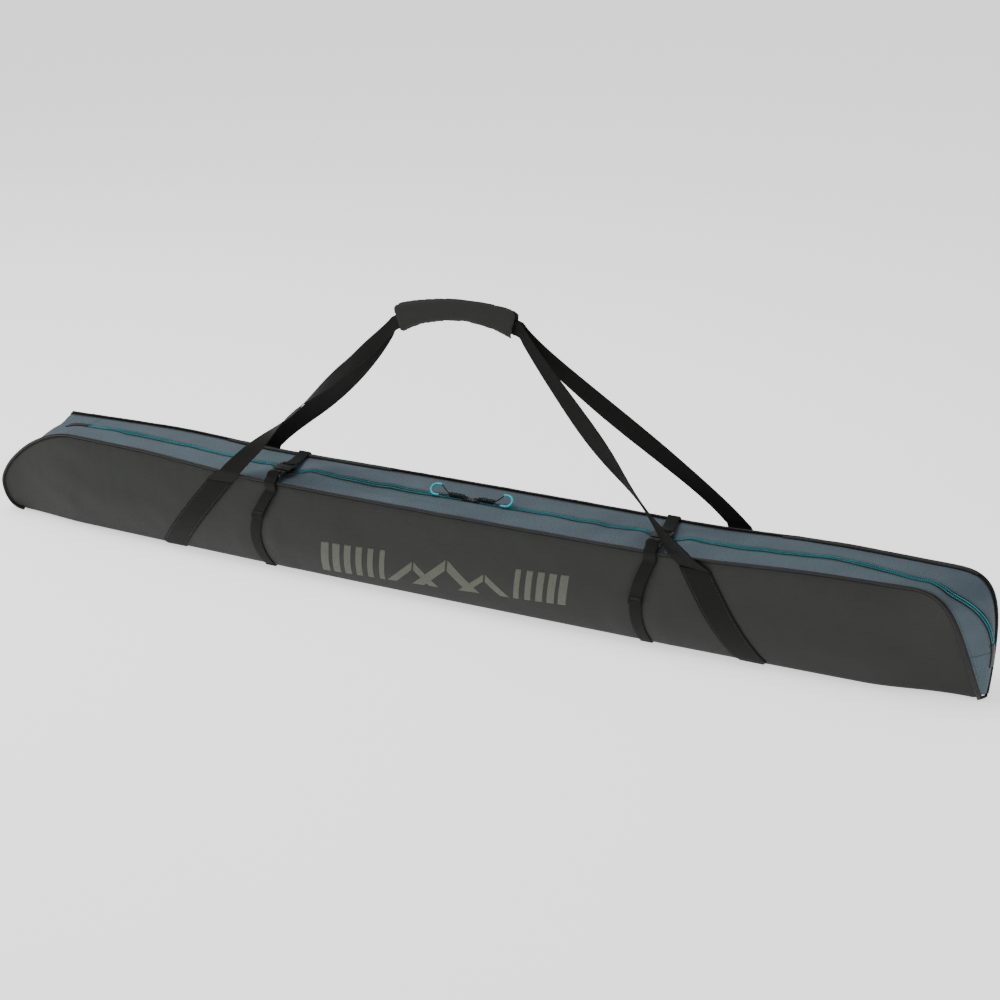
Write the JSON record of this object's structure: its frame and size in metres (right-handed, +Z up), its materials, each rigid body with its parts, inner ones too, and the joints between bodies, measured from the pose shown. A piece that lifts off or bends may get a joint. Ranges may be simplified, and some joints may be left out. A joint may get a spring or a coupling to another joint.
{
  "type": "ski bag",
  "caption": "Long soft ski bag with charcoal sides, slate zipped top, two buckled compression straps and a padded two-loop carry handle.",
  "frame": {"origin": "centre of the flat underside, midway along the bag", "axes": "+X along the bag towards its straight-cut end, -Y the front side with the printed mark, +Z up towards the handle"},
  "size_m": [1.7562, 0.1464, 0.4899],
  "materials": {
    "charcoal_fabric": "fine coated weave, low sheen",
    "slate_fabric": "soft two-tone weave",
    "grip_fabric": "padded coated fabric",
    "webbing": "ribbed woven webbing",
    "cord_and_piping": "round covered cord",
    "zip_tape": "woven tape",
    "zip_coil": "nylon coil",
    "slider_metal": "black lacquer",
    "pull_tube": "smooth moulded",
    "buckle_plastic": "fine grained",
    "hook_and_loop": "hook and loop pile"
  },
  "bodies": {
    "bag": {"front_panel": "charcoal_fabric", "back_panel": "charcoal_fabric", "base_panel": "charcoal_fabric", "top_front_strip": "slate_fabric", "top_rear_strip": "slate_fabric", "left_end_gusset": "slate_fabric", "right_end_gusset": "slate_fabric", "front_piping": "cord_and_piping", "back_piping": "cord_and_piping", "zip_tape_front": "zip_tape", "zip_tape_rear": "zip_tape", "zip_coil_front": "zip_coil", "zip_coil_rear": "zip_coil", "zip_end_tab_left": "webbing", "zip_end_tab_right": "webbing", "left_carry_web": "webbing", "right_carry_web": "webbing", "front_left_handle_web": "webbing", "front_right_handle_web": "webbing", "back_left_handle_web": "webbing", "back_right_handle_web": "webbing", "left_strap": "webbing", "left_strap_tail": "webbing", "left_strap_top": "webbing", "left_plug": "buckle_plastic", "right_strap": "webbing", "right_strap_tail": "webbing", "right_strap_top": "webbing", "right_plug": "buckle_plastic"},
    "left_slider": {"left_slider": "slider_metal"},
    "right_slider": {"right_slider": "slider_metal"},
    "left_pull": {"left_pull_cord": "cord_and_piping", "left_pull_tube": "pull_tube"},
    "right_pull": {"right_pull_cord": "cord_and_piping", "right_pull_tube": "pull_tube"},
    "grip": {"grip_front_web": "webbing", "grip_back_web": "webbing", "grip_pad": "grip_fabric", "grip_loop_strip": "hook_and_loop"},
    "grip_flap": {"grip_flap": "grip_fabric", "grip_hook_strip": "hook_and_loop"},
    "left_socket": {"left_socket": "buckle_plastic"},
    "right_socket": {"right_socket": "buckle_plastic"},
    "left_arm_inner": {"left_arm_inner": "buckle_plastic"},
    "left_arm_outer": {"left_arm_outer": "buckle_plastic"},
    "right_arm_inner": {"right_arm_inner": "buckle_plastic"},
    "right_arm_outer": {"right_arm_outer": "buckle_plastic"}
  },
  "joints": [
    {"name": "left_slider_slide", "type": "slide", "parent": "bag", "child": "left_slider", "axis": [-1, 0, 0], "range_m": [0, 0.22]},
    {"name": "right_slider_slide", "type": "slide", "parent": "bag", "child": "right_slider", "axis": [1, 0, 0], "range_m": [0, 0.22]},
    {"name": "left_pull_tilt", "type": "hinge", "parent": "left_slider", "child": "left_pull", "pos_m": [0.038, -0.00048, 0.167], "axis": [0, 1, 0], "range_deg": [0, 75]},
    {"name": "right_pull_tilt", "type": "hinge", "parent": "right_slider", "child": "right_pull", "pos_m": [0.054, -0.00048, 0.167], "axis": [0, -1, 0], "range_deg": [0, 75]},
    {"name": "handle_drop", "type": "slide", "parent": "bag", "child": "grip", "axis": [0, 0, -1], "range_m": [0, 0.17], "deforming": ["front_left_handle_web", "front_right_handle_web", "back_left_handle_web", "back_right_handle_web"]},
    {"name": "grip_flap_open", "type": "hinge", "parent": "grip", "child": "grip_flap", "pos_m": [0.01978, 0, 0.48896], "axis": [0.9977, 0, 0.068], "range_deg": [0, 120]},
    {"name": "left_buckle_release", "type": "slide", "parent": "bag", "child": "left_socket", "axis": [0, 1, 0], "range_m": [0, 0.02], "deforming": ["left_strap_top"]},
    {"name": "left_arm_inner_flex", "type": "hinge", "parent": "bag", "child": "left_arm_inner", "pos_m": [-0.277, -0.038, 0.1702], "axis": [0, 0, 1], "range_deg": [0, 5], "stiffness_Nm_per_rad": 0.05},
    {"name": "left_arm_outer_flex", "type": "hinge", "parent": "bag", "child": "left_arm_outer", "pos_m": [-0.295, -0.038, 0.1702], "axis": [0, 0, -1], "range_deg": [0, 5], "stiffness_Nm_per_rad": 0.05},
    {"name": "right_buckle_release", "type": "slide", "parent": "bag", "child": "right_socket", "axis": [0, 1, 0], "range_m": [0, 0.02], "deforming": ["right_strap_top"]},
    {"name": "right_arm_inner_flex", "type": "hinge", "parent": "bag", "child": "right_arm_inner", "pos_m": [0.369, -0.038, 0.1702], "axis": [0, 0, -1], "range_deg": [0, 5], "stiffness_Nm_per_rad": 0.05},
    {"name": "right_arm_outer_flex", "type": "hinge", "parent": "bag", "child": "right_arm_outer", "pos_m": [0.387, -0.038, 0.1702], "axis": [0, 0, 1], "range_deg": [0, 5], "stiffness_Nm_per_rad": 0.05}
  ],
  "couplings": [
    {"joint": "left_arm_outer_flex", "follows": "left_arm_inner_flex", "ratio": 1},
    {"joint": "right_arm_outer_flex", "follows": "right_arm_inner_flex", "ratio": 1}
  ]
}
